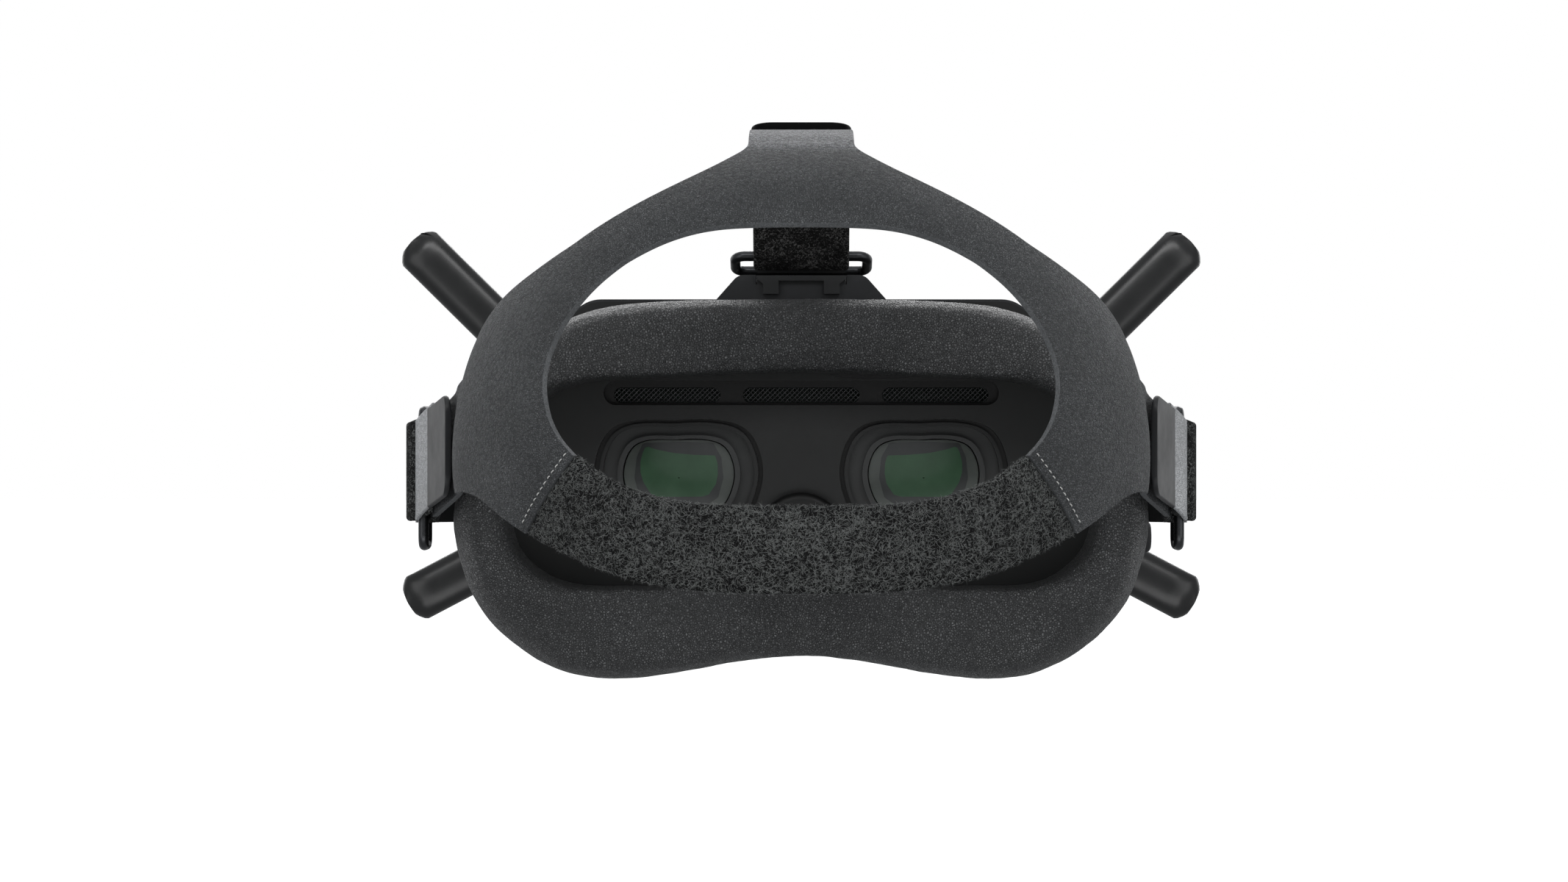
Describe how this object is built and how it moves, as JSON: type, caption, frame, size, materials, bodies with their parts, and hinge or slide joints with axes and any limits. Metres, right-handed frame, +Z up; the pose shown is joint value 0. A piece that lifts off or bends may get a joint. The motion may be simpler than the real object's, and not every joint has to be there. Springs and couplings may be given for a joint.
{
  "type": "fpv goggles",
  "caption": "Box-shaped video goggles with folding blade antennas, sliding eyepieces, a foam face pad and a windowed leather headband on wire rings.",
  "frame": {"origin": "midway between the two eyepieces, on the plane through the backs of their lenses", "axes": "+Z up, +Y the way the wearer looks, +X the wearer's right"},
  "size_m": [0.2226, 0.2218, 0.1434],
  "materials": {
    "case_plastic": "fine-grained moulded plastic, matte",
    "cover_plastic": "smooth satin moulded plastic",
    "inner_plastic": "matte moulded plastic",
    "barrel_plastic": "matte moulded plastic",
    "vent_mesh": "black woven wire mesh",
    "pad_leather": "pebbled synthetic leather over soft foam",
    "strap_leather": "soft synthetic leather with stitched edges",
    "fleece": "short-pile brushed loop fabric",
    "tab_plastic": "smooth grey moulded tab",
    "ring_wire": "black-coated steel wire",
    "bracket_plastic": "matte black moulding",
    "circuit_board": "green solder mask",
    "sink_metal": "extruded fins",
    "fan_plastic": "satin black",
    "grille_plastic": "matte black",
    "lens_glass": "coated optical lens with a green cast",
    "screen": "dark display glass",
    "steel": "machined steel",
    "socket_metal": "dark-plated sockets",
    "antenna_plastic": "satin black moulding",
    "antenna_socket_plastic": "matte black",
    "switch_plastic": "matte black",
    "button_rubber": "matte rubber",
    "knob_plastic": "knurled matte plastic"
  },
  "bodies": {
    "visor": {"antenna_sockets": "antenna_socket_plastic", "audio_jack": "socket_metal", "card_slot": "socket_metal", "channel_display": "screen", "dc_jack": "socket_metal", "face_pad": "pad_leather", "face_plate": "inner_plastic", "fan_housing": "fan_plastic", "front_cover": "cover_plastic", "front_housing": "case_plastic", "guide_rods": "steel", "heat_sink": "sink_metal", "housing_screws": "steel", "intake_grille": "grille_plastic", "joystick_housing": "switch_plastic", "key_switches": "switch_plastic", "main_board": "circuit_board", "nose_shield": "inner_plastic", "pad_frame": "inner_plastic", "rear_housing": "case_plastic", "strap_brackets": "bracket_plastic", "usb_port": "socket_metal", "vent_meshes": "vent_mesh"},
    "fan_rotor": {"fan_rotor": "fan_plastic"},
    "joystick_gimbal": {"joystick_gimbal": "switch_plastic"},
    "joystick_stem": {"joystick_stem": "switch_plastic"},
    "joystick_cap": {"joystick_cap": "button_rubber"},
    "record_button": {"record_button": "button_rubber"},
    "back_button": {"back_button": "button_rubber"},
    "channel_up_button": {"channel_up_button": "button_rubber"},
    "channel_down_button": {"channel_down_button": "button_rubber"},
    "link_button": {"link_button": "button_rubber"},
    "top_ring": {"top_ring": "ring_wire"},
    "left_ring": {"left_ring": "ring_wire"},
    "right_ring": {"right_ring": "ring_wire"},
    "headband": {"back_strap": "strap_leather", "fleece_pad": "fleece", "loop_top": "fleece", "loop_left": "fleece", "loop_right": "fleece", "pull_tabs": "tab_plastic"},
    "eyepiece_left": {"lens_barrel_left": "barrel_plastic", "lens_left": "lens_glass", "display_left": "screen", "ipd_knob_left": "knob_plastic"},
    "antenna_upper_left": {"antenna_shell_upper_left": "antenna_plastic", "antenna_element_upper_left": "circuit_board"},
    "antenna_lower_left": {"antenna_shell_lower_left": "antenna_plastic", "antenna_element_lower_left": "circuit_board"},
    "eyepiece_right": {"lens_barrel_right": "barrel_plastic", "lens_right": "lens_glass", "display_right": "screen", "ipd_knob_right": "knob_plastic"},
    "antenna_upper_right": {"antenna_shell_upper_right": "antenna_plastic", "antenna_element_upper_right": "circuit_board"},
    "antenna_lower_right": {"antenna_shell_lower_right": "antenna_plastic", "antenna_element_lower_right": "circuit_board"}
  },
  "joints": [
    {"name": "antenna_upper_right_fold", "type": "hinge", "parent": "visor", "child": "antenna_upper_right", "pos_m": [0.0777, 0.049, 0.035], "axis": [0, 1, 0], "range_deg": [-45, 42]},
    {"name": "antenna_upper_left_fold", "type": "hinge", "parent": "visor", "child": "antenna_upper_left", "pos_m": [-0.0777, 0.049, 0.035], "axis": [0, 1, 0], "range_deg": [-42, 45]},
    {"name": "antenna_lower_right_fold", "type": "hinge", "parent": "visor", "child": "antenna_lower_right", "pos_m": [0.0713, 0.049, -0.0151], "axis": [0, 1, 0], "range_deg": [-25, 60]},
    {"name": "antenna_lower_left_fold", "type": "hinge", "parent": "visor", "child": "antenna_lower_left", "pos_m": [-0.0713, 0.049, -0.0151], "axis": [0, 1, 0], "range_deg": [-60, 25]},
    {"name": "ipd_left", "type": "slide", "parent": "visor", "child": "eyepiece_left", "axis": [1, 0, 0], "range_m": [-0.003, 0.003]},
    {"name": "ipd_right", "type": "slide", "parent": "visor", "child": "eyepiece_right", "axis": [1, 0, 0], "range_m": [-0.003, 0.003]},
    {"name": "joystick_pan", "type": "hinge", "parent": "visor", "child": "joystick_gimbal", "pos_m": [0.084, 0.03, -0.0164], "axis": [0, 0, 1], "range_deg": [-10, 10], "stiffness_Nm_per_rad": 0.02},
    {"name": "joystick_tilt", "type": "hinge", "parent": "joystick_gimbal", "child": "joystick_stem", "pos_m": [0.084, 0.03, -0.0164], "axis": [0, 1, 0], "range_deg": [-10, 10], "stiffness_Nm_per_rad": 0.02},
    {"name": "joystick_press", "type": "slide", "parent": "joystick_stem", "child": "joystick_cap", "axis": [-1, 0, 0], "range_m": [0, 0.0004], "stiffness_N_per_m": 400},
    {"name": "record_press", "type": "slide", "parent": "visor", "child": "record_button", "axis": [-1, 0, 0], "range_m": [0, 0.00035], "stiffness_N_per_m": 500},
    {"name": "back_press", "type": "slide", "parent": "visor", "child": "back_button", "axis": [-1, 0, 0], "range_m": [0, 0.00035], "stiffness_N_per_m": 500},
    {"name": "channel_up_press", "type": "slide", "parent": "visor", "child": "channel_up_button", "axis": [0, 0, -1], "range_m": [0, 0.00035], "stiffness_N_per_m": 500},
    {"name": "channel_down_press", "type": "slide", "parent": "visor", "child": "channel_down_button", "axis": [0, 0, -1], "range_m": [0, 0.00035], "stiffness_N_per_m": 500},
    {"name": "link_press", "type": "slide", "parent": "visor", "child": "link_button", "axis": [0, 0, 1], "range_m": [0, 0.00035], "stiffness_N_per_m": 500},
    {"name": "fan_spin", "type": "hinge", "parent": "visor", "child": "fan_rotor", "pos_m": [0, 0.0626, 0.002], "axis": [0, 1, 0], "continuous": true},
    {"name": "top_ring_swing", "type": "hinge", "parent": "visor", "child": "top_ring", "pos_m": [0, 0.0142, 0.0556], "axis": [1, 0, 0], "range_deg": [-5, 5]},
    {"name": "right_ring_swing", "type": "hinge", "parent": "visor", "child": "right_ring", "pos_m": [0.0992, -0.002, 0], "axis": [0, 0, 1], "range_deg": [-6, 6]},
    {"name": "left_ring_swing", "type": "hinge", "parent": "visor", "child": "left_ring", "pos_m": [-0.0992, -0.002, 0], "axis": [0, 0, 1], "range_deg": [-6, 6]},
    {"name": "headband_tilt", "type": "hinge", "parent": "visor", "child": "headband", "pos_m": [0, -0.012, 0], "axis": [1, 0, 0], "range_deg": [-5, 5], "deforming": ["loop_top", "loop_left", "loop_right"]}
  ]
}
